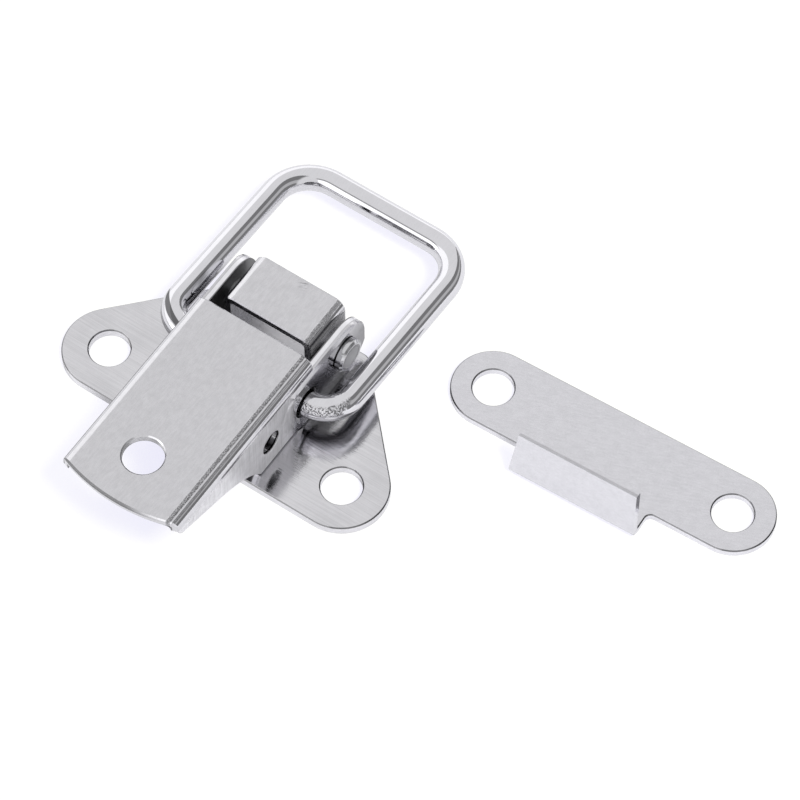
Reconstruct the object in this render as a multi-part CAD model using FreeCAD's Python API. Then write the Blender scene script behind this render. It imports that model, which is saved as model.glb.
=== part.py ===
import FreeCAD, Part
import math
import os

# Over centre toggle latch of folded stainless sheet, with its separate strike plate.
# Millimetres. X runs along the two screw wings, +Y points to the wire loop's far bar and
# +Z is up from the mounting surface. The origin is midway between the wing screw holes,
# on the underside of the base plate.

os.makedirs("parts", exist_ok=True)
V = FreeCAD.Vector
ORIGIN = V(0, 0, 0)
X_AXIS = V(1, 0, 0)
Z_AXIS = V(0, 0, 1)

# Base plate
base_t = 1.2
screw_d = 5.0
wing_spacing = 33.6
wing_r = 5.75
base_rear_overlap = 0.95
base_rear_margin = 0.25
base_corner_r = 1.0

# Pivot bracket, an inverted channel on the base plate
bracket_w = 12.6
bracket_len = 7.1
bracket_front_y = 9.1
bracket_top_z = 10.6
bracket_t = 1.0
bracket_bend_r = 1.5
tenon_len = 3.6

# Lever, a channel whose cheeks run back past the bracket as ears
lever_gap = 0.2
lever_t = 1.0
lever_side_gap = 0.95
lever_top_z = 12.0
lever_bend_r = 1.6
lever_rear_gap = 2.3
lever_front_y = -19.6
nose_bulge = 1.5
lever_hole_d = 5.0
lever_hole_y = -14.5
lever_hole_x = -0.5
ear_below_bend = 0.3
ear_trim = 0.6
ear_corner_r = 4.0
pad_height = 0.25
pad_slope_run = 0.7
pad_root = 0.4
pad_front_y = 1.6
pad_front_z = 7.0
pad_front_r = 10.0
flange_depth = 2.9
flange_straight = 0.2
belly_front_y = -4.2
belly_steepness = 0.23
belly_fullness = 0.63
flange_run = 0.62
flange_fullness = 0.72
seal_hole_d = 3.2
seal_hole_y = -1.9

# Pivot rivet through both ears and the bracket
rivet_d = 3.0
rivet_z = 6.3
rivet_running = 0.06
rivet_end_gap = 0.12
rivet_head_d = 4.4
rivet_head_t = 0.9
rivet_head_edge = 0.25
rivet_tail_d = 4.0
rivet_tail_t = 0.35
rivet_tail_edge = 0.15

# Bail, a bent round wire hinged in the cheeks
wire_d = 3.2
bail_running = 0.09
bail_relief = 0.45
bail_relief_depth = 0.6
bail_pivot_y = 4.9
bail_pivot_z = 5.6
bail_leg_gap = 2.55
bail_reach = 28.2
bail_bar_z = 3.7
bail_corner_r = 5.2
bail_hinge_bend_r = 3.6
bail_end_inside = 2.25
wire_end_edge = 0.3

# Strike plate with its hook tab, lying beside the latch
keeper_t = 1.0
keeper_spacing = 32.5
keeper_r = 5.15
hook_width = 16.8
hook_side_offset = -0.5
hook_neck = 3.55
hook_height = 7.5
hook_lean = 11.5
hook_taper = 0.6
hook_bend_r = 1.4
hook_relief_r = 0.8
keeper_x = 40.1
keeper_y = 22.0
keeper_turn = 2.5

# Broken edges and the smallest distance that counts
hole_edge = 0.15
sheet_edge = 0.15
NEAR = 1e-3

# Values worked out from the sizes above
rivet_y = bracket_front_y + bracket_len / 2
base_rear_y = bracket_front_y + bracket_len + base_rear_margin
lever_w = bracket_w + 2 * (lever_side_gap + lever_t)
base_rear_width = lever_w + 2 * base_rear_overlap
lever_rear_y = bracket_front_y - lever_rear_gap
cheek_bottom_z = base_t + lever_gap
ear_r = rivet_z - cheek_bottom_z
ear_reach = ear_r - ear_trim
ear_rear_y = rivet_y + ear_reach
ear_top_z = lever_top_z - lever_bend_r - ear_below_bend
pad_face_x = lever_w / 2 + pad_height
flange_corner_r = flange_depth - lever_bend_r - flange_straight
ear_hole_r = rivet_d / 2 + rivet_running
bail_hole_r = wire_d / 2 + bail_running
bail_half = lever_w / 2 + bail_leg_gap + wire_d / 2
bail_end = lever_w / 2 - lever_t - bail_end_inside
bail_drop = bail_pivot_z - bail_bar_z
bail_slope = math.degrees(math.asin(bail_drop / bail_reach))


def plan(x, y):
    """A point of a plan outline."""
    return V(x, y, 0)


def side(y, z):
    """A point of a side outline, in the plane across X."""
    return V(0, y, z)


def line(a, b):
    return Part.LineSegment(a, b).toShape()


def arc(a, middle, b):
    return Part.Arc(a, middle, b).toShape()


def arc_about(centre, r, start, end, point):
    """Arc of a circle between two angles in degrees, with point() placing it in its plane."""
    at = [math.radians(a) for a in (start, (start + end) / 2, end)]
    ends = [point(centre[0] + r * math.cos(a), centre[1] + r * math.sin(a)) for a in at]
    return arc(ends[0], ends[1], ends[2])


def prism(edges, along):
    """Solid swept straight from a closed flat outline."""
    return Part.Face(Part.Wire(Part.__sortEdges__(edges))).extrude(along)


def polygon(points, along):
    return Part.Face(Part.makePolygon(points + points[:1])).extrude(along)


def hole(r, at, axis, length):
    """Round cutter centred on a point, length long in all."""
    return Part.makeCylinder(r, length, at - axis * (length / 2), axis)


def mirrored(sign):
    """Point maker for one half of a plan outline that is the same left and right."""
    return lambda x, y: plan(sign * x, y)


def lies_at(edge, axis, value):
    """True for an edge that keeps one coordinate: 0 for X, 1 for Y, 2 for Z."""
    box = edge.BoundBox
    low = (box.XMin, box.YMin, box.ZMin)[axis]
    high = (box.XMax, box.YMax, box.ZMax)[axis]
    return abs(low - value) < NEAR and abs(high - value) < NEAR


def upright(edge):
    """True for a straight edge along Z."""
    return edge.BoundBox.ZLength > NEAR and edge.BoundBox.XLength + edge.BoundBox.YLength < NEAR


def screw_hole(d, x, y, z0, t):
    """Punched hole through a sheet, its upper rim just broken."""
    cut = Part.makeCylinder(d / 2, 3 * t, V(x, y, z0 - t))
    rim = Part.makeCone(d / 2, d / 2 + 2 * hole_edge, 2 * hole_edge, V(x, y, z0 + t - hole_edge))
    return cut.fuse(rim)


def channel(width, top_z, floor_z, t, bend_r, y0, y1):
    """Inverted U of folded sheet along Y, with rounded outer and inner bends."""
    half = width / 2
    inner = bend_r - t
    edges = []
    for sign in (-1, 1):
        cx = sign * (half - bend_r)
        out = (180, 90) if sign < 0 else (0, 90)
        cz = top_z - bend_r
        edges.append(arc_about((cx, cz), bend_r, out[0], out[1], lambda a, b: V(a, y0, b)))
        edges.append(arc_about((cx, cz), inner, out[0], out[1], lambda a, b: V(a, y0, b)))
        edges.append(line(V(sign * half, y0, floor_z), V(sign * half, y0, cz)))
        edges.append(line(V(sign * (half - t), y0, floor_z), V(sign * (half - t), y0, cz)))
        edges.append(line(V(sign * half, y0, floor_z), V(sign * (half - t), y0, floor_z)))
    flat = half - bend_r
    edges.append(line(V(-flat, y0, top_z), V(flat, y0, top_z)))
    edges.append(line(V(-flat, y0, top_z - t), V(flat, y0, top_z - t)))
    return prism(edges, V(0, y1 - y0, 0))


def tangent_angle(corner, centre, r):
    """Direction, from a circle's centre, of the outer tangent point seen from a corner."""
    dx = corner[0] - centre[0]
    dy = corner[1] - centre[1]
    return math.degrees(math.atan2(dy, dx) - math.acos(r / math.hypot(dx, dy)))


def on_fold(edge, width, top_z):
    """True for an edge on the outer skin of a folded channel."""
    box = edge.BoundBox
    outside = lies_at(edge, 0, width / 2) or lies_at(edge, 0, -width / 2)
    return outside or abs(box.ZMax - top_z) < NEAR


def make_base_plate():
    """Flat plate: straight front edge, round screw wings, slanting sides, straight rear."""
    centre = (wing_spacing / 2, 0.0)
    corner = (base_rear_width / 2, base_rear_y)
    turn = tangent_angle(corner, centre, wing_r)
    touch_x = centre[0] + wing_r * math.cos(math.radians(turn))
    touch_y = centre[1] + wing_r * math.sin(math.radians(turn))
    edges = [line(plan(-centre[0], -wing_r), plan(centre[0], -wing_r))]
    edges.append(line(plan(-corner[0], corner[1]), plan(corner[0], corner[1])))
    for sign in (-1, 1):
        at = mirrored(sign)
        edges.append(arc_about(centre, wing_r, -90, turn, at))
        edges.append(line(at(touch_x, touch_y), at(corner[0], corner[1])))
    plate = prism(edges, V(0, 0, base_t))
    rear = [e for e in plate.Edges if upright(e) and lies_at(e, 1, base_rear_y)]
    plate = plate.makeFillet(base_corner_r, rear)
    plate = plate.makeChamfer(sheet_edge, [e for e in plate.Edges if lies_at(e, 2, base_t)])
    for x in (-centre[0], centre[0]):
        plate = plate.cut(screw_hole(screw_d, x, 0, 0, base_t))
    return plate.cut(make_tenons())


def make_tenons():
    """The bracket's two feet, which pass through the base plate and end flush below it."""
    y0 = rivet_y - tenon_len / 2
    right = Part.makeBox(bracket_t, tenon_len, base_t, V(bracket_w / 2 - bracket_t, y0, 0))
    left = Part.makeBox(bracket_t, tenon_len, base_t, V(-bracket_w / 2, y0, 0))
    return Part.Compound([left, right])


def make_pivot_bracket():
    rear_y = bracket_front_y + bracket_len
    body = channel(bracket_w, bracket_top_z, base_t, bracket_t, bracket_bend_r,
                   bracket_front_y, rear_y)
    body = body.fuse(make_tenons().Solids)
    body = body.cut(hole(rivet_d / 2, V(0, rivet_y, rivet_z), X_AXIS, 2 * bracket_w))
    body = body.removeSplitter()
    ends = [e for e in body.Edges if lies_at(e, 1, bracket_front_y) or lies_at(e, 1, rear_y)]
    return body.makeChamfer(sheet_edge, [e for e in ends if on_fold(e, bracket_w, bracket_top_z)])


def lever_side_outline():
    """Side view of a cheek, clockwise from the nose, as edges in the plane x = 0."""
    over = lever_top_z + lever_t
    nose_y = lever_front_y - nose_bulge - lever_t
    flange_z = lever_top_z - flange_depth
    shoulder_z = flange_z + flange_corner_r
    turn_y = lever_front_y + flange_corner_r
    # The lower edge sweeps up from the deep belly to the shallow flange at the nose.
    run = turn_y - belly_front_y
    rise = flange_z - cheek_bottom_z
    sweep = Part.BezierCurve()
    sweep.setPoles([side(belly_front_y, cheek_bottom_z),
                    side(belly_front_y + belly_steepness * run,
                         cheek_bottom_z + belly_fullness * rise),
                    side(belly_front_y + flange_run * run,
                         cheek_bottom_z + flange_fullness * rise),
                    side(turn_y, flange_z)])
    # Behind the rivet the ear is concentric with it, so that it turns clear of the plate.
    ear_turn = -math.degrees(math.acos(ear_reach / ear_r))
    ear_z = rivet_z + ear_r * math.sin(math.radians(ear_turn))
    corner_y = ear_rear_y - ear_corner_r
    corner_z = ear_top_z - ear_corner_r
    return [
        line(side(nose_y, over), side(nose_y, shoulder_z)),
        line(side(nose_y, shoulder_z), side(lever_front_y, shoulder_z)),
        arc_about((turn_y, shoulder_z), flange_corner_r, 180, 270, side),
        sweep.toShape(),
        line(side(belly_front_y, cheek_bottom_z), side(rivet_y, cheek_bottom_z)),
        arc_about((rivet_y, rivet_z), ear_r, -90, ear_turn, side),
        line(side(ear_rear_y, ear_z), side(ear_rear_y, corner_z)),
        arc_about((corner_y, corner_z), ear_corner_r, 0, 90, side),
        line(side(corner_y, ear_top_z), side(lever_rear_y, ear_top_z)),
        line(side(lever_rear_y, ear_top_z), side(lever_rear_y, over)),
        line(side(lever_rear_y, over), side(nose_y, over)),
    ]


def make_lever():
    half = lever_w / 2
    folded = channel(lever_w, lever_top_z, base_t, lever_t, lever_bend_r,
                     lever_front_y - 2 * nose_bulge, ear_rear_y + lever_t)
    profile = prism(lever_side_outline(), V(2 * lever_w, 0, 0))
    profile.translate(V(-lever_w, 0, 0))
    rear_y = ear_rear_y + 2 * lever_t
    plan_outline = prism([
        arc(plan(-half, lever_front_y), plan(0, lever_front_y - nose_bulge),
            plan(half, lever_front_y)),
        line(plan(half, lever_front_y), plan(half, rear_y)),
        line(plan(half, rear_y), plan(-half, rear_y)),
        line(plan(-half, rear_y), plan(-half, lever_front_y)),
    ], V(0, 0, 2 * lever_top_z))
    lever = break_lever_edges(folded.common(profile).common(plan_outline))
    for sign in (-1, 1):
        lever = lever.fuse(cheek_pad(sign, profile))
    lever = lever.cut(screw_hole(lever_hole_d, lever_hole_x, lever_hole_y,
                                 lever_top_z - lever_t, lever_t))
    lever = lever.cut(hole(ear_hole_r, V(0, rivet_y, rivet_z), X_AXIS, 2 * lever_w))
    lever = lever.cut(hole(seal_hole_d / 2, V(0, seal_hole_y, bail_pivot_z), X_AXIS, 2 * lever_w))
    lever = lever.cut(hole(bail_hole_r, bail_pivot(), X_AXIS, 2 * lever_w))
    for sign in (-1, 1):
        out = X_AXIS * sign
        mouth = bail_pivot() + out * (pad_face_x - bail_relief_depth)
        lever = lever.cut(Part.makeCylinder(bail_hole_r + bail_relief, lever_t, mouth, out))
    return lever.removeSplitter()


def cheek_pad(sign, profile):
    """Raised part of a cheek, sloping at its front and top, that carries the ear and its holes."""
    half = lever_w / 2
    floor = cheek_bottom_z
    rear = ear_rear_y
    centre = pad_front_y + pad_front_r

    def outline(x, inset):
        r = pad_front_r - inset
        top = ear_top_z - inset

        def at(y, z):
            return V(sign * x, y, z)

        def on_front(z):
            return at(centre - math.sqrt(r**2 - (z - pad_front_z)**2), z)

        return Part.Wire([
            arc(on_front(top), at(centre - r, pad_front_z), on_front(floor)),
            line(on_front(floor), at(rear, floor)),
            line(at(rear, floor), at(rear, top)),
            line(at(rear, top), on_front(top)),
        ])

    root = Part.Face(outline(half - pad_root, 0)).extrude(X_AXIS * (sign * pad_root))
    slope = Part.makeLoft([outline(half, 0), outline(pad_face_x, pad_slope_run)], True, True)
    pad = root.fuse(slope).common(profile).removeSplitter()

    def rim(edge):
        behind = edge.BoundBox.YMin > rivet_y - NEAR
        below = lies_at(edge, 2, cheek_bottom_z)
        return lies_at(edge, 0, sign * pad_face_x) and (behind or below)

    return pad.makeChamfer(sheet_edge, [e for e in pad.Edges if rim(e)])


def break_lever_edges(lever):
    """Break the outer edges: first each cheek's outline, then the two ends of the top."""
    half = lever_w / 2
    bend_z = lever_top_z - lever_bend_r

    def outline(edge):
        face = lies_at(edge, 0, half) or lies_at(edge, 0, -half)
        ends = lies_at(edge, 1, lever_front_y) or lies_at(edge, 1, lever_rear_y)
        return face and not (ends or lies_at(edge, 2, bend_z))

    def top_end(edge):
        box = edge.BoundBox
        front = box.YMax < lever_front_y + NEAR
        tall = abs(box.ZMax - lever_top_z) < NEAR and box.ZMin > bend_z - NEAR
        return tall and (front or lies_at(edge, 1, lever_rear_y))

    lever = lever.makeChamfer(sheet_edge, [e for e in lever.Edges if outline(e)])
    return lever.makeChamfer(sheet_edge, [e for e in lever.Edges if top_end(e)])


def rivet_end(sign, d, t, edge):
    """Half of the pin with its flat end beyond an ear, turned about X; sign is its side."""
    inner = pad_face_x + rivet_end_gap
    outer = inner + t
    profile = [(0, 0), (0, rivet_d / 2), (inner, rivet_d / 2), (inner, d / 2),
               (outer - edge, d / 2), (outer, d / 2 - edge), (outer, 0), (0, 0)]
    outline = Part.makePolygon([plan(sign * x, y) for x, y in profile])
    return Part.Face(outline).revolve(ORIGIN, X_AXIS, 360)


def make_pivot_rivet():
    """Round pin with its head outside the right ear and a flatter tail outside the left."""
    head = rivet_end(1, rivet_head_d, rivet_head_t, rivet_head_edge)
    tail = rivet_end(-1, rivet_tail_d, rivet_tail_t, rivet_tail_edge)
    rivet = head.fuse(tail).removeSplitter()
    rivet.translate(V(0, rivet_y, rivet_z))
    return rivet


def bail_pivot():
    return V(0, bail_pivot_y, bail_pivot_z)


def make_bail():
    """Round wire: in through one cheek, out along a leg, across the far bar and back."""
    half = bail_half
    hinge = bail_hinge_bend_r
    corner = bail_corner_r
    far = bail_reach
    edges = [line(plan(-half + corner, far), plan(half - corner, far))]
    for sign in (-1, 1):
        at = mirrored(sign)
        edges.append(arc_about((half - corner, far - corner), corner, 0, 90, at))
        edges.append(line(at(half, hinge), at(half, far - corner)))
        edges.append(arc_about((half - hinge, hinge), hinge, -90, 0, at))
        edges.append(line(at(bail_end, 0), at(half - hinge, 0)))
    path = Part.Wire(Part.__sortEdges__(edges))
    start = path.OrderedVertexes[0].Point
    section = Part.Wire(Part.makeCircle(wire_d / 2, start, X_AXIS))
    wire = path.makePipeShell([section], True, False)
    ends = [e for e in wire.Edges if lies_at(e, 0, bail_end) or lies_at(e, 0, -bail_end)]
    wire = wire.makeChamfer(wire_end_edge, ends)
    wire.rotate(ORIGIN, X_AXIS, -bail_slope)
    wire.translate(bail_pivot())
    return wire


def make_keeper_plate():
    """Obround plate whose hook tab is folded up from a short neck and leans back over it."""
    half = keeper_spacing / 2
    plate = prism([
        line(plan(-half, -keeper_r), plan(half, -keeper_r)),
        arc_about((half, 0), keeper_r, -90, 90, plan),
        line(plan(half, keeper_r), plan(-half, keeper_r)),
        arc_about((-half, 0), keeper_r, 90, 270, plan),
    ], V(0, 0, keeper_t))
    # Folded strip in side view: along the neck, round the bend, up the leaning tab.
    front_y = -keeper_r - hook_neck
    bend_y = front_y + hook_bend_r
    inner = hook_bend_r - keeper_t
    lean = math.radians(hook_lean)
    end_angle = 180 - hook_lean
    up = side(math.sin(lean), math.cos(lean))

    def on_bend(r, degrees):
        a = math.radians(degrees)
        return side(bend_y + r * math.cos(a), hook_bend_r + r * math.sin(a))

    outer_end = on_bend(hook_bend_r, end_angle)
    inner_end = on_bend(inner, end_angle)
    rise = (hook_height - outer_end.z) / math.cos(lean)
    strip = prism([
        line(side(0, 0), side(bend_y, 0)),
        arc_about((bend_y, hook_bend_r), hook_bend_r, 270, end_angle, side),
        line(outer_end, outer_end + up * rise),
        line(outer_end + up * rise, inner_end + up * rise),
        line(inner_end + up * rise, inner_end),
        arc_about((bend_y, hook_bend_r), inner, end_angle, 270, side),
        line(side(bend_y, keeper_t), side(0, keeper_t)),
        line(side(0, keeper_t), side(0, 0)),
    ], V(hook_width, 0, 0))
    strip.translate(V(-hook_width / 2, 0, 0))
    wide = hook_width / 2
    front = polygon([V(-wide, 0, 0), V(wide, 0, 0), V(wide, 0, hook_bend_r),
                     V(wide - hook_taper, 0, hook_height + keeper_t),
                     V(hook_taper - wide, 0, hook_height + keeper_t),
                     V(-wide, 0, hook_bend_r)], V(0, 4 * front_y, 0))
    strip = strip.common(front)
    strip.translate(V(hook_side_offset, 0, 0))
    keeper = plate.fuse(strip).removeSplitter()
    sides = (hook_side_offset - wide, hook_side_offset + wide)
    notch = [e for e in keeper.Edges if upright(e) and lies_at(e, 1, -keeper_r)
             and (lies_at(e, 0, sides[0]) or lies_at(e, 0, sides[1]))]
    keeper = keeper.makeFillet(hook_relief_r, notch)
    rim = [e for e in keeper.Edges if lies_at(e, 2, keeper_t) and not lies_at(e, 1, bend_y)]
    keeper = keeper.makeChamfer(sheet_edge, rim)
    for x in (-half, half):
        keeper = keeper.cut(screw_hole(screw_d, x, 0, 0, keeper_t))
    keeper.rotate(ORIGIN, Z_AXIS, keeper_turn)
    keeper.translate(V(keeper_x, keeper_y, 0))
    return keeper


parts = {
    "base_plate": make_base_plate(),
    "pivot_bracket": make_pivot_bracket(),
    "pivot_rivet": make_pivot_rivet(),
    "lever": make_lever(),
    "bail": make_bail(),
    "keeper_plate": make_keeper_plate(),
}

for name, shape in parts.items():
    shape.exportStep("parts/" + name + ".step")
    box = shape.BoundBox
    print(name, "solids", len(shape.Solids), "valid", shape.isValid(),
          "volume %.1f" % shape.Volume,
          "x %.2f..%.2f y %.2f..%.2f z %.2f..%.2f" % (
              box.XMin, box.XMax, box.YMin, box.YMax, box.ZMin, box.ZMax))
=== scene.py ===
"""Looks of an over centre toggle latch in polished sheet steel, with its strike plate.

Metres. X runs along the two screw wings, +Y points to the wire loop's far bar and +Z is up
from the mounting surface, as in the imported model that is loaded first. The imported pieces
already have their true shapes, so no piece is added: each gets a steel of its own, with marks
placed in millimetres by the piece's own edges.
"""

import math

import bpy
from mathutils import Matrix, Vector

MM = 0.001

# Camera, as the photograph was taken: degrees, metres, and pixels of an 800 px frame
VIEW_AZIMUTH = 34.65
VIEW_ELEVATION = 58.63
VIEW_ROLL = -0.30
VIEW_DISTANCE = 500 * MM
VIEW_TARGET = (15.397 * MM, 14.097 * MM, 0.0)
FRAME_PX = 800
FOCAL_PX = 4226
SENSOR_MM = 36
CLIP_START = 0.01
CLIP_END = 20.0

# White tent that the steel mirrors. A card stands between two angles from straight up, in
# degrees, and fades over a third; what it adds to the tent's brightness follows. Its ends
# and sides are places on a sphere of radius 1, in X or in Y
TENT = 0.90
DARKEST = 0.02
RIGHT_CARD, RIGHT_CARD_ADDS = (17.5, 97, 1), -0.66
RIGHT_CARD_GAP, GAP_SHARE = (48, 66, 4), 0.5
RIGHT_CARD_END = (-0.35, -0.15)
LEFT_PANEL, LEFT_PANEL_ADDS = (-95, -48, 4), 0.45
FRONT_WINDOW, FRONT_WINDOW_ADDS = (-80, -47, 2), 0.7
WINDOW_BAR, WINDOW_BAR_ADDS = (-44, -36, 2), -0.5
WINDOW_SIDES = (-0.75, 0.15, 0.05)
LOW_SHADE, LOW_SHADE_ADDS = (-97, -82, 1), -0.72
LOW_SHADE_END = (0.3, 0.1)

# Table of white paper: its half width, its colour lit for the camera and for all other rays,
# the even glow that the camera adds, and the brightness that mirrors add
TABLE_HALF = 1.6
PAPER_SEEN = (0.22, 0.225, 0.09, 1.0)
PAPER_PLAIN = (0.52, 0.52, 0.53, 1.0)
PAPER_GLOW = (0.755, 0.745, 0.92, 1.0)
PAPER_SHINE = 0.20
WHITE = (1.0, 1.0, 1.0, 1.0)

LAMP_PLACE = (0.37, -0.08, 0.62)
LAMP_TARGET = (0.0, 0.01, 0.0)
LAMP_SIZE = 0.18
LAMP_WATTS = 5.0

# Noise lies between these values nearly everywhere
NOISE_SPREAD = (0.3, 0.7)

# Below, all lengths are millimetres. A face across the latch is given by its distance from
# the middle plane. A ring is a centre and the two radii between which it fades. A range
# fades from its first value to its second, and a third value is how far it fades outside.

# Lever: its cheeks, top and rear edge, the height of the ears' top, where its bends start
# along X and end in height, where a cheek's ground face gives way to the raised pad along Y,
# and the arc of its front edge
CHEEK_OUTSIDE = 8.25
CHEEK_INSIDE = 7.25
LEVER_TOP = 12.0
LEVER_UNDERSIDE = 11.0
LEVER_REAR = 6.8
EAR_TOP = 10.1
LEVER_BEND_X = 6.65
LEVER_BEND_Z = 10.4
PAD_START = 1.4
PAD_END = 3.4
NOSE_CENTRE = 2.34
NOSE_RADIUS = 23.44
NOSE_TIPS = -19.6
NOSE_FADE = (7.0, 1.0)

# Holes through the cheeks, (y, z), and the marks that follow them
SEAL_HOLE = (-1.9, 5.6)
SEAL_HOLE_RADIUS = 1.60
BAIL_HOLE = (4.9, 5.6)
BAIL_RELIEF_RADIUS = 2.14
PRESSED_RING = (BAIL_HOLE, 3.9, 4.5)
RIVET_AXIS = (12.65, 6.3)
# Along Y, where the ears' outer faces are painted dark below the rivet, a painted reflection
EAR_FOOT = (7.6, 12.0, 0.9)

# Bracket: its sides, top, front edge and bends, and a scratch on its top, (x, y)
BRACKET_OUTSIDE = 6.3
BRACKET_INSIDE = 5.3
BRACKET_TOP = 10.6
BRACKET_UNDERSIDE = 9.6
BRACKET_FRONT = 9.1
BRACKET_BEND_X = 4.8
BRACKET_BEND_Z = 9.1
SCRATCH = ((0.8, 15.4), 0.15, 0.9)

# Rivet: the ears that its two ends bear on, its head's face and the ring pressed into it,
# inside which the face is painted darker as a painted reflection
EAR_FACE = 8.5
HEAD_FACE = 9.52
HEAD_RING_INSIDE = (RIVET_AXIS, 1.35, 1.50)
HEAD_RING_OUTSIDE = (RIVET_AXIS, 1.60, 1.72)

# Flat plates: their tops, the shade below the wire on the base, (x, y), and the top of the
# keeper's hook, whose cut edge slopes down from it by 0.2
BASE_TOP = 1.2
KEEPER_TOP = 1.0
WIRE_SHADE = ((10.9, 5.4), 1.2, 3.8)
HOOK_TOP = 7.50

# Wire loop: the tool marks on its right hinge bend, a painted dark reflection in streaks on the
# inner side of its left leg, and a painted dark reflection, a crescent and an outline, on its
# left hinge bend, all (x, y)
SCUFF_X = (8.9, 12.8, 0.5)
SCUFF_Y = (8.2, 6.8)
SCUFF_Z = (6.15, 6.85, 0.2)
PAINTED_LEG_REFLECTION_X = (-11.55, -10.3, 0.2)
PAINTED_LEG_REFLECTION_Y = (7.0, 12.0, 1.5)
PAINTED_LEG_REFLECTION_Z = (6.9, 6.4)
LEFT_BEND_X = (-9.3, -9.8)
CRESCENT_OUTSIDE = ((-8.634, 9.265), 5.15, 5.22)
CRESCENT_INSIDE = ((-6.769, 11.957), 7.72, 7.80)
CRESCENT_Y = (8.9, 8.6)
CRESCENT_Z = (5.3, 5.6)
HINGE_OUTLINE = ((-8.8, 8.5), 4.98, 5.06)
HINGE_OUTLINE_Y = (7.6, 6.6)


class Value:
    """One output socket of a shader tree; arithmetic on it adds Math nodes."""

    def __init__(self, tree, socket):
        self.tree = tree
        self.socket = socket

    def maths(self, operation, *values):
        return self.tree.node("ShaderNodeMath", {"operation": operation}, values)

    def __add__(self, other):
        return self.maths("ADD", self, other)

    def __sub__(self, other):
        return self.maths("SUBTRACT", self, other)

    def __rsub__(self, other):
        return self.maths("SUBTRACT", other, self)

    def __mul__(self, other):
        return self.maths("MULTIPLY", self, other)

    def __pow__(self, power):
        return self.maths("POWER", self, power)

    __radd__ = __add__
    __rmul__ = __mul__

    def abs(self):
        return self.maths("ABSOLUTE", self)

    def at_least(self, other):
        return self.maths("MAXIMUM", self, other)

    def rise(self, low, high):
        """0 below low, 1 above high, smooth between; falls instead where low is above high."""
        down = low > high
        low, high = min(low, high), max(low, high)
        settings = {"interpolation_type": "SMOOTHSTEP"}
        found = self.tree.node("ShaderNodeMapRange", settings, (self, low, high, 0.0, 1.0))
        return 1.0 - found if down else found

    def band(self, low, high, soft):
        """1 between low and high, fading out over soft on each side."""
        return self.rise(low - soft, low) * self.rise(high + soft, high)


class Tree:
    """A shader node tree with one method that adds any node."""

    def __init__(self, owner):
        owner.use_nodes = True
        self.tree = owner.node_tree
        self.tree.nodes.clear()

    def node(self, kind, settings=None, inputs=(), output=0):
        """Adds a node: first its settings, then its inputs, by place or by name."""
        made = self.tree.nodes.new(kind)
        for name, value in (settings or {}).items():
            setattr(made, name, value)
        pairs = inputs.items() if isinstance(inputs, dict) else enumerate(inputs)
        for key, value in pairs:
            socket = made.inputs[key]
            if isinstance(value, Value):
                self.tree.links.new(value.socket, socket)
            else:
                socket.default_value = value
        return Value(self, made.outputs[output]) if made.outputs else None

    def parts(self, vector):
        """The X, Y and Z of a vector as three values."""
        made = self.node("ShaderNodeSeparateXYZ", None, (vector,))
        return [Value(self, output) for output in made.socket.node.outputs]

    def tint(self, amount, low, high):
        """The colour low where amount is 0 and high where it is 1. The node's colours are its
        inputs 6 and 7 and its output 2."""
        settings = {"data_type": "RGBA"}
        inputs = {0: amount, 6: (*low, 1.0), 7: (*high, 1.0)}
        return self.node("ShaderNodeMix", settings, inputs, 2)

    def place(self):
        """Object coordinates, in metres: the fourth output."""
        return self.node("ShaderNodeTexCoord", None, (), 3)

    def noise(self, where, scale, detail, roughness):
        inputs = {"Vector": where, "Scale": scale, "Detail": detail, "Roughness": roughness}
        return self.node("ShaderNodeTexNoise", None, inputs)

    def clouds(self, where, size, detail=3.0, roughness=0.5):
        """Noise from 0 to 1 with patches about size mm across."""
        return self.noise(where, 1 / (size * MM), detail, roughness)

    def streaks(self, where, along, across, turn, detail=3.0, lean=0.0):
        """Noise drawn out into lines along X, turned about Z and leaned about Y by degrees;
        along and across are the sizes in mm."""
        painted_leg_streaks = self.node("ShaderNodeMapping", {"vector_type": "TEXTURE"}, {
            "Vector": where, "Rotation": (0.0, math.radians(lean), math.radians(turn)),
            "Scale": (along * MM, across * MM, across * MM)})
        return self.noise(painted_leg_streaks, 1.0, detail, 0.5)


def with_marks(marks, change, value):
    """The value, and what every mark adds to it in one of the changes that it makes."""
    for amount, changes in marks:
        if change in changes:
            value = value + amount * changes[change]
    return value


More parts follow.
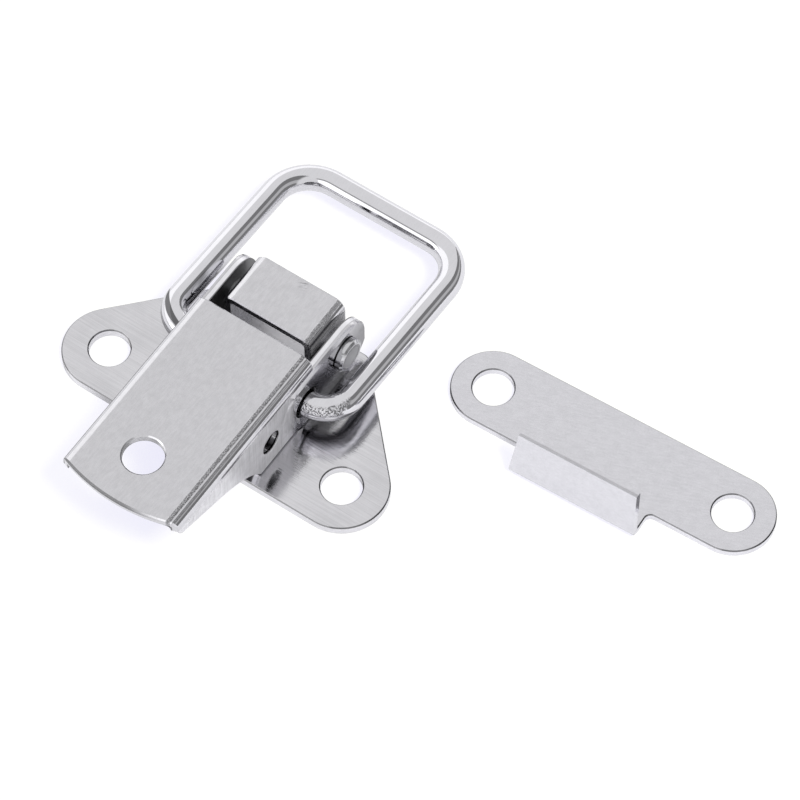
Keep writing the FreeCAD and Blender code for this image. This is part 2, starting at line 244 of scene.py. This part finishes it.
def steel(name, colour, roughness, grain, mottle, dents, turn, find_marks):
    """Polished sheet steel with the marks of one piece.

    grain is (along mm, across mm, depth mm, share of roughness), mottle is (size mm, share of
    colour), dents is (size mm, depth mm) and turn is the grain's angle from X in degrees.
    find_marks gives the piece's marks. Each is an amount that changes over the piece, and what
    it adds where it is 1: tone, a share of the colour; rough; height, in mm; and dull, from 0
    for bare metal to 1.
    """
    along, across, depth, uneven = grain
    cloud_size, cloud_share = mottle
    wave_size, wave_depth = dents
    material = bpy.data.materials.new(name)
    tree = Tree(material)
    where = tree.place()
    x, y, z = (v * (1 / MM) for v in tree.parts(where))
    marks = find_marks(tree, where, x, y, z)
    lines = tree.streaks(where, along, across, turn)
    clouds = tree.clouds(where, cloud_size, 4.0, 0.6)
    shade = clouds * 0.5 + lines * 0.5
    base = tree.tint(shade.rise(*NOISE_SPREAD), [c * (1 - cloud_share) for c in colour],
                     [min(1.0, c * (1 + cloud_share)) for c in colour])
    tone = with_marks(marks, "tone", 1.0)
    base = tree.node("ShaderNodeVectorMath", {"operation": "SCALE"}, {0: base, "Scale": tone})
    rough = roughness * (1.0 + (lines - 0.5) * uneven + (clouds - 0.5) * uneven)
    waves = tree.clouds(where, wave_size, 2.0)
    height = with_marks(marks, "height", lines * depth + waves * wave_depth)
    bump = tree.node("ShaderNodeBump", None,
                     {"Height": height * MM, "Strength": 1.0, "Distance": 1.0})
    shader = tree.node("ShaderNodeBsdfPrincipled", None, {
        "Base Color": base, "Metallic": 1.0 - with_marks(marks, "dull", 0.0),
        "Roughness": with_marks(marks, "rough", rough), "Normal": bump})
    tree.node("ShaderNodeOutputMaterial", None, (shader,))
    return material


def ring(a, b, centre, inner, outer):
    """1 within inner of a centre in the plane of two coordinates, 0 beyond outer."""
    far = ((a - centre[0]) ** 2.0 + (b - centre[1]) ** 2.0) ** 0.5
    return far.rise(outer, inner)


def lever_marks(tree, where, x, y, z):
    """Cheeks ground dull before the polished pads, which are painted a little darker as a
    painted reflection; sheared edges rougher and painted pale, a painted highlight, with a
    painted dark line along their outer rim; painted shade on the hole walls and inside; painted
    dark reflections low on the ears' outer faces and along the left bend and the front; and the
    right bend stretched rough."""
    side = x.abs()
    outside = (side.rise(CHEEK_OUTSIDE - 0.15, CHEEK_OUTSIDE - 0.05)
               * z.rise(LEVER_BEND_Z + 0.3, LEVER_BEND_Z - 0.1))
    ground = outside * y.rise(PAD_END, PAD_START)
    # Painted reflection: the polished pads are painted a little darker.
    polished_pad_painted_darker = outside * y.rise(PAD_START, PAD_END)
    pressed = ring(y, z, *PRESSED_RING) * outside * y.rise(PAD_END + 0.2, PAD_END - 0.8)
    # Painted reflection: the ears' outer faces are painted dark below the rivet.
    painted_dark_ear_foot = (outside * y.band(*EAR_FOOT)
                * z.rise(RIVET_AXIS[1] + 0.6, RIVET_AXIS[1] - 0.6))
    # Painted shade: the cheeks' inside faces and the top's underside are painted dark.
    painted_shade_inside = (side.rise(CHEEK_INSIDE + 0.2, CHEEK_INSIDE + 0.1)
              * z.rise(LEVER_UNDERSIDE + 0.1, LEVER_UNDERSIDE - 0.05))

    holes = ring(y, z, SEAL_HOLE, SEAL_HOLE_RADIUS + 0.06, SEAL_HOLE_RADIUS + 0.10).at_least(
        ring(y, z, BAIL_HOLE, BAIL_RELIEF_RADIUS + 0.06, BAIL_RELIEF_RADIUS + 0.10))
    # Painted shade: the walls of the cheek holes are painted dark.
    painted_shade_hole_wall = (side.rise(CHEEK_OUTSIDE - 0.03, CHEEK_OUTSIDE - 0.07)
            * z.rise(LEVER_UNDERSIDE, LEVER_UNDERSIDE - 0.1) * holes)
    rim = (ring(y, z, SEAL_HOLE, SEAL_HOLE_RADIUS + 0.02, SEAL_HOLE_RADIUS + 0.35)
           * side.rise(CHEEK_OUTSIDE - 0.10, CHEEK_OUTSIDE - 0.05))

    ear_height = z.rise(EAR_TOP + 0.04, EAR_TOP)
    cheek_edge = side.band(CHEEK_INSIDE + 0.15, CHEEK_OUTSIDE - 0.19, 0.04) * ear_height
    rear_edge = (y.rise(LEVER_REAR - 0.10, LEVER_REAR - 0.04)
                 * z.rise(LEVER_UNDERSIDE - 0.1, LEVER_UNDERSIDE))
    # Painted highlight: the cut edges are painted pale, besides being rougher.
    painted_highlight_edges = cheek_edge.at_least(rear_edge) * (1.0 - painted_shade_hole_wall)
    # Painted reflection: a thin dark line along the outer rim of the cut edges.
    painted_dark_outline = side.band(CHEEK_OUTSIDE - 0.33, CHEEK_OUTSIDE - 0.19, 0.03) * ear_height

    bent = z.rise(LEVER_BEND_Z, LEVER_BEND_Z + 0.1)
    bend = side.rise(LEVER_BEND_X + 0.40, LEVER_BEND_X + 0.55) * bent
    ridge = x.band(LEVER_BEND_X + 0.77, LEVER_BEND_X + 0.81, 0.22) * bent
    peeled = (x.band(LEVER_BEND_X + 0.11, LEVER_BEND_X + 0.51, 0.06)
              * z.rise(LEVER_BEND_Z, LEVER_BEND_Z + 0.4))
    # Painted reflection: a dark, dull strip along the left bend.
    painted_dark_left_bend = (x.rise(0.39 - CHEEK_OUTSIDE, 0.29 - CHEEK_OUTSIDE)
              * z.rise(EAR_TOP, EAR_TOP + 0.2))
    # Painted reflection: a dark, dull line along the arc of the front edge.
    from_centre = (x ** 2.0 + (y - NOSE_CENTRE) ** 2.0) ** 0.5
    painted_dark_nose = (from_centre.rise(NOSE_RADIUS - 0.19, NOSE_RADIUS - 0.15)
            * y.rise(NOSE_TIPS + 0.2, NOSE_TIPS + 0.1)
            * z.rise(LEVER_TOP - 0.65, LEVER_TOP - 0.55) * x.rise(*NOSE_FADE))

    upright = tree.streaks(where, 6.0, 0.12, 0.0, lean=90.0)
    peel = tree.clouds(where, 0.16, 2.0)
    worn = tree.clouds(where, 1.6)
    return [
        (painted_shade_inside, dict(tone=-0.72, rough=0.25)),
        (painted_highlight_edges, dict(tone=0.32, rough=0.20)),
        (ground, dict(tone=0.05, rough=0.25, dull=0.40)),
        (ground * (worn - 0.5), dict(tone=0.50)),
        (ground * (upright - 0.5), dict(tone=0.60)),
        (ground * upright, dict(height=0.03)),
        (painted_shade_hole_wall, dict(tone=-0.60)),
        (painted_dark_left_bend, dict(tone=-0.85, rough=0.50, dull=0.85)),
        (painted_dark_outline, dict(tone=-0.45)),
        (painted_dark_nose, dict(tone=-0.75, rough=0.30, dull=0.70)),
        (painted_dark_ear_foot, dict(tone=-0.45)),
        (peeled, dict(tone=-0.62, rough=0.10)),
        (peeled * peel.rise(0.42, 0.62), dict(tone=0.45)),
        (peeled * peel, dict(height=0.07)),
        (polished_pad_painted_darker, dict(tone=-0.12, rough=-0.05)),
        (bend, dict(rough=-0.07)),
        (ridge, dict(height=0.07)),
        (pressed, dict(height=0.10)),
        (rim, dict(height=-0.10)),
    ]


def bracket_marks(tree, where, x, y, z):
    """Dull inside with painted shade, dull down the sides, rough on the right bend, scratched
    on top.
    """
    side = x.abs()
    # Painted shade: the inside faces are painted a little darker, besides being rougher.
    painted_shade_inside = (side.rise(BRACKET_INSIDE + 0.1, BRACKET_INSIDE - 0.05)
              * z.rise(BRACKET_UNDERSIDE + 0.1, BRACKET_UNDERSIDE - 0.1))
    flank = side.rise(BRACKET_OUTSIDE - 0.2, BRACKET_OUTSIDE - 0.05)
    peeled = (x.band(BRACKET_BEND_X + 0.45, BRACKET_BEND_X + 0.95, 0.08)
              * z.rise(BRACKET_BEND_Z + 0.2, BRACKET_BEND_Z + 0.6))
    bend = (side.rise(BRACKET_BEND_X + 0.75, BRACKET_BEND_X + 0.90)
            * z.rise(BRACKET_BEND_Z, BRACKET_BEND_Z + 0.1))
    scratch = (ring(x, y, *SCRATCH) * z.rise(BRACKET_TOP - 0.2, BRACKET_TOP - 0.1)
               * tree.streaks(where, 1.2, 0.16, 30.0).rise(0.52, 0.60))
    return [
        (painted_shade_inside, dict(tone=-0.10, rough=0.15)),
        (flank, dict(tone=-0.05, rough=0.12, dull=0.25)),
        (scratch, dict(tone=-0.50)),
        (peeled, dict(rough=0.10)),
        (peeled * tree.clouds(where, 0.22, 2.0), dict(height=0.06)),
        (bend, dict(rough=-0.07)),
    ]


def rivet_marks(tree, where, x, y, z):
    """A ring pressed into the head, its middle rougher and painted darker as a painted
    reflection;
    the pin between the two ends is plain drawn wire."""
    pin = x.abs().rise(EAR_FACE - 0.1, EAR_FACE - 0.3)
    # Painted reflection: the head's face inside the pressed ring is painted darker.
    painted_dark_head_face = x.rise(HEAD_FACE - 0.32, HEAD_FACE - 0.22) * ring(y, z, *HEAD_RING_OUTSIDE)
    groove = painted_dark_head_face * (1.0 - ring(y, z, *HEAD_RING_INSIDE))
    return [
        (pin, dict(tone=-0.10, rough=0.30)),
        (painted_dark_head_face, dict(tone=-0.35, rough=0.15)),
        (groove, dict(height=0.05)),
    ]


def rim_marks(z, top):
    """The broken edge of a flat plate is painted dark as a painted reflection, the cut wall
    below it painted pale as a painted highlight.
    """
    return [
        (z.band(top - 0.14, top - 0.02, 0.02), dict(tone=-0.70)),
        (z.rise(top - 0.16, top - 0.20), dict(tone=0.12)),
    ]


def plate_marks(tree, where, x, y, z):
    """Unpolished where the bracket hides it, darker below the wire."""
    hidden = (x.abs().rise(BRACKET_INSIDE, BRACKET_INSIDE - 0.2)
              * y.rise(BRACKET_FRONT - 2.1, BRACKET_FRONT - 1.1))
    return [
        (hidden, dict(tone=0.20, rough=0.35, dull=0.30)),
        (ring(x, y, *WIRE_SHADE), dict(tone=-0.40)),
    ] + rim_marks(z, BASE_TOP)


def keeper_marks(tree, where, x, y, z):
    """Finely specked all over; the hook's cut edge is duller."""
    cut = z.rise(HOOK_TOP - 0.10, HOOK_TOP - 0.07)
    specks = tree.clouds(where, 0.25, 3.0, 0.6)
    return [
        (cut, dict(tone=-0.26, rough=0.20)),
        (specks - 0.5, dict(tone=0.18)),
    ] + rim_marks(z, KEEPER_TOP)


def wire_marks(tree, where, x, y, z):
    """Tool marks on the outside of the right hinge bend; a painted dark reflection, in streaks,
    on the inner side of the left leg; a painted dark reflection, a crescent and an outline,
    round the left hinge bend."""
    patches = tree.clouds(where, 1.8, 1.0).rise(0.30, 0.45)
    scuff = x.band(*SCUFF_X) * y.rise(*SCUFF_Y) * z.band(*SCUFF_Z) * patches
    pits = tree.clouds(where, 0.20, 2.0)
    # Painted reflection: the inner lower side of the left leg is painted darker, in streaks
    # along it.
    painted_leg_reflection = x.band(*PAINTED_LEG_REFLECTION_X) * y.band(*PAINTED_LEG_REFLECTION_Y) * z.rise(*PAINTED_LEG_REFLECTION_Z)
    painted_leg_streaks = tree.streaks(where, 3.0, 0.30, 90.0, 1.0)
    left = x.rise(*LEFT_BEND_X)
    # Painted reflection: a dark crescent and outline round the left hinge bend.
    painted_crescent_reflection = (ring(x, y, *CRESCENT_OUTSIDE) * (1.0 - ring(x, y, *CRESCENT_INSIDE))
                * left * y.rise(*CRESCENT_Y) * z.rise(*CRESCENT_Z))
    painted_dark_outline = (1.0 - ring(x, y, *HINGE_OUTLINE)) * left * y.rise(*HINGE_OUTLINE_Y)
    return [
        (scuff, dict(rough=0.08)),
        (scuff * pits, dict(height=0.12)),
        (scuff * pits.rise(0.54, 0.44), dict(tone=-0.75)),
        (painted_leg_reflection, dict(tone=-0.32)),
        (painted_leg_reflection * painted_leg_streaks.rise(0.35, 0.65), dict(tone=-0.25)),
        (painted_crescent_reflection, dict(tone=-0.80)),
        (painted_dark_outline, dict(tone=-0.60)),
    ]


def make_camera():
    """Camera on a sphere about the target, turned by its roll, at the fitted focal length."""
    a, e, r = (math.radians(v) for v in (VIEW_AZIMUTH, VIEW_ELEVATION, VIEW_ROLL))
    back = Vector((math.sin(a) * math.cos(e), -math.cos(a) * math.cos(e), math.sin(e)))
    level = Vector((math.cos(a), math.sin(a), 0.0))
    upward = back.cross(level)
    right = level * math.cos(r) + upward * math.sin(r)
    up = upward * math.cos(r) - level * math.sin(r)
    lens = bpy.data.cameras.new("photo_camera")
    lens.sensor_width = SENSOR_MM
    lens.lens = FOCAL_PX / FRAME_PX * SENSOR_MM
    lens.clip_start = CLIP_START
    lens.clip_end = CLIP_END
    camera = bpy.data.objects.new("photo_camera", lens)
    camera.matrix_world = Matrix((right, up, back)).transposed().to_4x4()
    camera.location = Vector(VIEW_TARGET) + back * VIEW_DISTANCE
    bpy.context.scene.collection.objects.link(camera)
    bpy.context.scene.camera = camera


def make_world():
    """White tent round the table, with the cards that polished steel mirrors; the camera
    itself sees plain white. The direction comes from the first output of the coordinates;
    lean_x is its angle from straight up towards +X, lean_y towards +Y, in degrees."""
    world = bpy.data.worlds.new("white_tent")
    bpy.context.scene.world = world
    tree = Tree(world)
    x, y, z = tree.parts(tree.node("ShaderNodeTexCoord"))
    degrees = 180 / math.pi
    lean_x = x.maths("ARCTAN2", x, z) * degrees
    lean_y = y.maths("ARCTAN2", y, z) * degrees
    card = (lean_x.band(*RIGHT_CARD) * (1.0 - lean_x.band(*RIGHT_CARD_GAP) * GAP_SHARE)
            * y.rise(*RIGHT_CARD_END))
    panel = lean_x.band(*LEFT_PANEL)
    sides = x.band(*WINDOW_SIDES)
    window = lean_y.band(*FRONT_WINDOW) * sides
    bar = lean_y.band(*WINDOW_BAR) * sides
    shade = lean_y.band(*LOW_SHADE) * x.rise(*LOW_SHADE_END)
    level = (TENT + card * RIGHT_CARD_ADDS + panel * LEFT_PANEL_ADDS
             + window * FRONT_WINDOW_ADDS + shade * LOW_SHADE_ADDS + bar * WINDOW_BAR_ADDS)
    lit = tree.node("ShaderNodeBackground", None, (WHITE, level.at_least(DARKEST)))
    plain = tree.node("ShaderNodeBackground", None, (WHITE, 1.0))
    camera_ray = tree.node("ShaderNodeLightPath")
    seen = tree.node("ShaderNodeMixShader", None, (camera_ray, lit, plain))
    tree.node("ShaderNodeOutputWorld", None, (seen,))


def make_table():
    """White table. The camera sees part of its light as an even glow, so that it is white
    and its shadows stay soft and lilac; everything else sees plain lit paper."""
    mesh = bpy.data.meshes.new("table")
    h = TABLE_HALF
    mesh.from_pydata([(-h, -h, 0), (h, -h, 0), (h, h, 0), (-h, h, 0)], [], [(0, 1, 2, 3)])
    table = bpy.data.objects.new("table", mesh)
    bpy.context.scene.collection.objects.link(table)
    material = bpy.data.materials.new("table_paper")
    tree = Tree(material)
    rays = tree.node("ShaderNodeLightPath").socket.node.outputs
    mirrored = Value(tree, rays["Is Glossy Ray"])
    camera = Value(tree, rays["Is Camera Ray"])
    plain = tree.node("ShaderNodeBsdfDiffuse", None, (PAPER_PLAIN,))
    seen = tree.node("ShaderNodeBsdfDiffuse", None, (PAPER_SEEN,))
    paper = tree.node("ShaderNodeMixShader", None, (camera, plain, seen))
    glow = tree.node("ShaderNodeEmission", None, (PAPER_GLOW, camera))
    shine = tree.node("ShaderNodeEmission", None, (WHITE, mirrored * PAPER_SHINE))
    light = tree.node("ShaderNodeAddShader", None, (glow, shine))
    both = tree.node("ShaderNodeAddShader", None, (paper, light))
    tree.node("ShaderNodeOutputMaterial", None, (both,))
    mesh.materials.append(material)


def make_lamp():
    """Soft square lamp to the right that shines on the latch; mirrors don't see it."""
    lamp = bpy.data.lights.new("right_softbox", "AREA")
    lamp.size = LAMP_SIZE
    lamp.energy = LAMP_WATTS
    holder = bpy.data.objects.new("right_softbox", lamp)
    holder.location = LAMP_PLACE
    away = Vector(LAMP_PLACE) - Vector(LAMP_TARGET)
    holder.rotation_euler = away.to_track_quat("Z", "Y").to_euler()
    holder.visible_glossy = False
    bpy.context.scene.collection.objects.link(holder)


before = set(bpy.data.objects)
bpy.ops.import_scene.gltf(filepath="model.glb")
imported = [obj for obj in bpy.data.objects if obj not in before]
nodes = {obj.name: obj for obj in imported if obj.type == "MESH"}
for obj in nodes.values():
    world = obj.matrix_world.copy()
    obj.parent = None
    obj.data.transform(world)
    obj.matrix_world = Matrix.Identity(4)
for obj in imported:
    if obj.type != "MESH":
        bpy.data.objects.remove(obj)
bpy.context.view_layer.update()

finishes = {
    "base_plate": steel(
        "brushed_plate_steel", colour=(0.67, 0.665, 0.69), roughness=0.07,
        grain=(7.0, 0.16, 0.015, 0.5), mottle=(5.0, 0.09), dents=(9.0, 0.004),
        turn=0, find_marks=plate_marks),
    "pivot_bracket": steel(
        "bracket_steel", colour=(0.64, 0.635, 0.66), roughness=0.16,
        grain=(1.0, 0.25, 0.002, 0.3), mottle=(0.9, 0.06), dents=(8.0, 0.01),
        turn=88, find_marks=bracket_marks),
    "pivot_rivet": steel(
        "rivet_steel", colour=(0.60, 0.60, 0.62), roughness=0.15,
        grain=(2.0, 0.10, 0.002, 0.3), mottle=(1.0, 0.05), dents=(3.0, 0.005),
        turn=0, find_marks=rivet_marks),
    "lever": steel(
        "lever_steel", colour=(0.635, 0.63, 0.655), roughness=0.15,
        grain=(1.0, 0.25, 0.002, 0.3), mottle=(0.9, 0.06), dents=(9.0, 0.01),
        turn=88, find_marks=lever_marks),
    "bail": steel(
        "wire_steel", colour=(0.71, 0.705, 0.735), roughness=0.07,
        grain=(3.0, 0.20, 0.001, 0.3), mottle=(2.0, 0.03), dents=(6.0, 0.005),
        turn=90, find_marks=wire_marks),
    "keeper_plate": steel(
        "keeper_steel", colour=(0.70, 0.695, 0.73), roughness=0.20,
        grain=(1.5, 0.25, 0.002, 0.3), mottle=(1.2, 0.05), dents=(9.0, 0.01),
        turn=20, find_marks=keeper_marks),
}
for name, material in finishes.items():
    for slot in nodes[name].material_slots:
        slot.material = material

bpy.context.scene.view_settings.view_transform = "Standard"
make_camera()
make_world()
make_table()
make_lamp()
